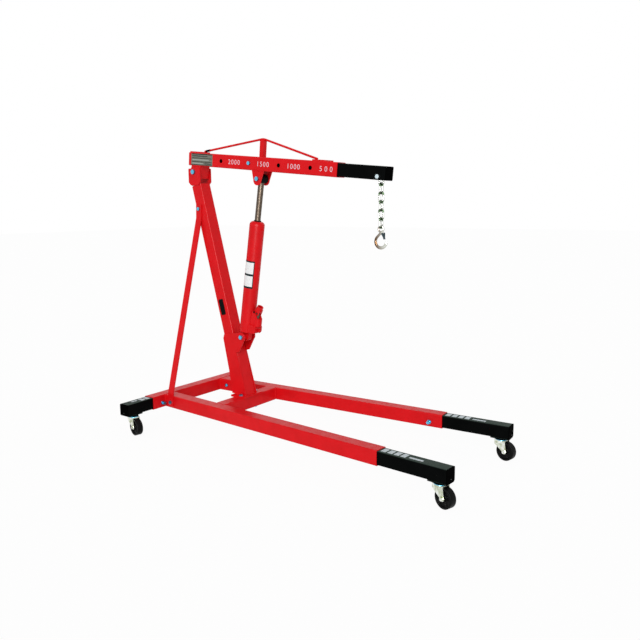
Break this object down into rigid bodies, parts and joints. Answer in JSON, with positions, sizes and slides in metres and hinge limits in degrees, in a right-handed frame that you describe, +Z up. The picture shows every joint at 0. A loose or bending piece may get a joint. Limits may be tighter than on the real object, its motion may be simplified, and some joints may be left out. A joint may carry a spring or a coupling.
{
  "type": "engine hoist",
  "caption": "Hydraulic engine hoist: splayed legs on swivel casters, leaning mast with braces, telescopic boom raised by a hand-pumped ram, load chain and latched hook",
  "frame": {"origin": "on the floor, on the crane's middle plane, half way along its length", "axes": "+X forward along the legs to the hook side, +Y to the crane's left, +Z up"},
  "size_m": [1.8694, 0.956, 1.5456],
  "materials": {
    "red_paint": "gloss powder coat",
    "black_paint": "satin powder coat",
    "zinc_bolt": "bright zinc plate",
    "polished_rod": "ground and oiled",
    "chain_steel": "zinc plated",
    "hook_steel": "forged, dark",
    "latch_steel": "dark pressed sheet",
    "zinc_caster": "yellow passivated zinc",
    "wheel_black": "moulded nylon"
  },
  "bodies": {
    "base": {"rear_beam": "red_paint", "leg_left": "red_paint", "leg_right": "red_paint", "front_crossbeam": "red_paint", "mast_foot": "red_paint", "mast": "red_paint", "head_plates": "red_paint", "brace_left": "red_paint", "brace_right": "red_paint", "frame_bolts": "zinc_bolt", "boom_pivot_bolt": "zinc_bolt", "ram_pivot_bolt": "zinc_bolt", "lock_screws": "zinc_bolt"},
    "boom": {"boom_sleeve": "red_paint", "boom_lug": "red_paint", "clevis_plates": "red_paint", "clevis_bolts": "zinc_bolt", "boom_lock_bolt": "zinc_bolt", "boom_stay": "red_paint"},
    "boom_slider": {"boom_extension": "black_paint", "boom_cap": "black_paint", "hook_bolt": "zinc_bolt"},
    "ram": {"ram_cylinder": "red_paint", "pump_body": "red_paint"},
    "rod": {"ram_rod": "polished_rod"},
    "plunger": {"pump_plunger": "polished_rod"},
    "socket": {"handle_socket": "red_paint"},
    "valve": {"release_valve": "red_paint"},
    "hook_body": {"hook": "hook_steel"},
    "latch_body": {"latch": "latch_steel"},
    "link_1": {"chain_link_1": "chain_steel"},
    "link_2": {"chain_link_2": "chain_steel"},
    "link_3": {"chain_link_3": "chain_steel"},
    "link_4": {"chain_link_4": "chain_steel"},
    "link_5": {"chain_link_5": "chain_steel"},
    "link_6": {"chain_link_6": "chain_steel"},
    "leg_slider_left": {"leg_extension_left": "black_paint", "leg_cap_left": "black_paint", "caster_plate_front_left": "black_paint"},
    "arm_slider_left": {"rear_arm_left": "black_paint", "arm_cap_left": "black_paint", "caster_plate_rear_left": "black_paint"},
    "leg_slider_right": {"leg_extension_right": "black_paint", "leg_cap_right": "black_paint", "caster_plate_front_right": "black_paint"},
    "arm_slider_right": {"rear_arm_right": "black_paint", "arm_cap_right": "black_paint", "caster_plate_rear_right": "black_paint"},
    "swivel_front_right": {"caster_fork_front_right": "zinc_caster", "caster_axle_front_right": "zinc_caster"},
    "wheel_front_right": {"caster_wheel_front_right": "wheel_black"},
    "swivel_front_left": {"caster_fork_front_left": "zinc_caster", "caster_axle_front_left": "zinc_caster"},
    "wheel_front_left": {"caster_wheel_front_left": "wheel_black"},
    "swivel_rear_right": {"caster_fork_rear_right": "zinc_caster", "caster_axle_rear_right": "zinc_caster"},
    "wheel_rear_right": {"caster_wheel_rear_right": "wheel_black"},
    "swivel_rear_left": {"caster_fork_rear_left": "zinc_caster", "caster_axle_rear_left": "zinc_caster"},
    "wheel_rear_left": {"caster_wheel_rear_left": "wheel_black"}
  },
  "joints": [
    {"name": "boom_hinge", "type": "hinge", "parent": "base", "child": "boom", "pos_m": [-0.788, 0, 1.3934], "axis": [0, -1, 0], "range_deg": [-10, 30]},
    {"name": "ram_hinge", "type": "hinge", "parent": "base", "child": "ram", "pos_m": [-0.47, 0, 0.508], "axis": [0, -1, 0], "range_deg": [-0.93, 2.75]},
    {"name": "rod_slide", "type": "slide", "parent": "ram", "child": "rod", "axis": [0.1595, 0, 0.9872], "range_m": [-0.0782, 0.2314]},
    {"name": "boom_slide", "type": "slide", "parent": "boom", "child": "boom_slider", "axis": [0.9952, 0, -0.0976], "range_m": [-0.1975, 0.395]},
    {"name": "socket_hinge", "type": "hinge", "parent": "ram", "child": "socket", "pos_m": [-0.39537, 0, 0.64383], "axis": [0, 1, 0], "range_deg": [-5.2, 25.6]},
    {"name": "plunger_slide", "type": "slide", "parent": "ram", "child": "plunger", "axis": [0.1595, 0, 0.9872], "range_m": [-0.0065, 0.0013]},
    {"name": "valve_turn", "type": "hinge", "parent": "ram", "child": "valve", "pos_m": [-0.37286, 0, 0.54498], "axis": [0.9872, 0, -0.1595], "range_deg": [0, 360]},
    {"name": "link_1_swing", "type": "hinge", "parent": "boom_slider", "child": "link_1", "pos_m": [0.38052, 0, 1.33138], "axis": [0, -1, 0], "range_deg": [-24, 18]},
    {"name": "link_2_swing", "type": "hinge", "parent": "link_1", "child": "link_2", "pos_m": [0.38052, 0, 1.29468], "axis": [1, 0, 0], "range_deg": [-25, 25]},
    {"name": "link_3_swing", "type": "hinge", "parent": "link_2", "child": "link_3", "pos_m": [0.38052, 0, 1.25598], "axis": [0, -1, 0], "range_deg": [-25, 25]},
    {"name": "link_4_swing", "type": "hinge", "parent": "link_3", "child": "link_4", "pos_m": [0.38052, 0, 1.21728], "axis": [1, 0, 0], "range_deg": [-25, 25]},
    {"name": "link_5_swing", "type": "hinge", "parent": "link_4", "child": "link_5", "pos_m": [0.38052, 0, 1.17858], "axis": [0, -1, 0], "range_deg": [-25, 25]},
    {"name": "link_6_swing", "type": "hinge", "parent": "link_5", "child": "link_6", "pos_m": [0.38052, 0, 1.13988], "axis": [1, 0, 0], "range_deg": [-25, 25]},
    {"name": "hook_swing", "type": "hinge", "parent": "link_6", "child": "hook_body", "pos_m": [0.38052, 0, 1.10118], "axis": [0, -1, 0], "range_deg": [-25, 25]},
    {"name": "latch_hinge", "type": "hinge", "parent": "hook_body", "child": "latch_body", "pos_m": [0.39252, 0, 1.07548], "axis": [0, 1, 0], "range_deg": [0, 30], "stiffness_Nm_per_rad": 0.01, "springref_deg": -17.19},
    {"name": "leg_slide_left", "type": "slide", "parent": "base", "child": "leg_slider_left", "axis": [0.9981, 0.0619, 0], "range_m": [-0.235, 0]},
    {"name": "arm_slide_left", "type": "slide", "parent": "base", "child": "arm_slider_left", "axis": [0, 1, 0], "range_m": [-0.015, 0.05]},
    {"name": "leg_slide_right", "type": "slide", "parent": "base", "child": "leg_slider_right", "axis": [0.9981, -0.0619, 0], "range_m": [-0.235, 0]},
    {"name": "arm_slide_right", "type": "slide", "parent": "base", "child": "arm_slider_right", "axis": [0, -1, 0], "range_m": [-0.065, 0]},
    {"name": "swivel_front_right", "type": "hinge", "parent": "leg_slider_right", "child": "swivel_front_right", "pos_m": [0.86168, -0.32199, 0.098], "axis": [0, 0, 1], "continuous": true},
    {"name": "spin_front_right", "type": "hinge", "parent": "swivel_front_right", "child": "wheel_front_right", "pos_m": [0.88846, -0.33018, 0.045], "axis": [0.2924, 0.9563, 0], "continuous": true},
    {"name": "swivel_front_left", "type": "hinge", "parent": "leg_slider_left", "child": "swivel_front_left", "pos_m": [0.86168, 0.32199, 0.098], "axis": [0, 0, 1], "continuous": true},
    {"name": "spin_front_left", "type": "hinge", "parent": "swivel_front_left", "child": "wheel_front_left", "pos_m": [0.88917, 0.31665, 0.045], "axis": [0.1908, 0.9816, 0], "continuous": true},
    {"name": "swivel_rear_right", "type": "hinge", "parent": "arm_slider_right", "child": "swivel_rear_right", "pos_m": [-0.892, -0.452, 0.098], "axis": [0, 0, 1], "continuous": true},
    {"name": "spin_rear_right", "type": "hinge", "parent": "swivel_rear_right", "child": "wheel_rear_right", "pos_m": [-0.86451, -0.45734, 0.045], "axis": [0.1908, 0.9816, 0], "continuous": true},
    {"name": "swivel_rear_left", "type": "hinge", "parent": "arm_slider_left", "child": "swivel_rear_left", "pos_m": [-0.892, 0.396, 0.098], "axis": [0, 0, 1], "continuous": true},
    {"name": "spin_rear_left", "type": "hinge", "parent": "swivel_rear_left", "child": "wheel_rear_left", "pos_m": [-0.86451, 0.39066, 0.045], "axis": [0.1908, 0.9816, 0], "continuous": true}
  ],
  "couplings": [
    {"joint": "ram_hinge", "follows": "boom_hinge", "ratio": 0.091},
    {"joint": "rod_slide", "follows": "boom_hinge", "m_per_rad": 0.439},
    {"joint": "socket_hinge", "follows": "plunger_slide", "rad_per_m": -66.67}
  ]
}
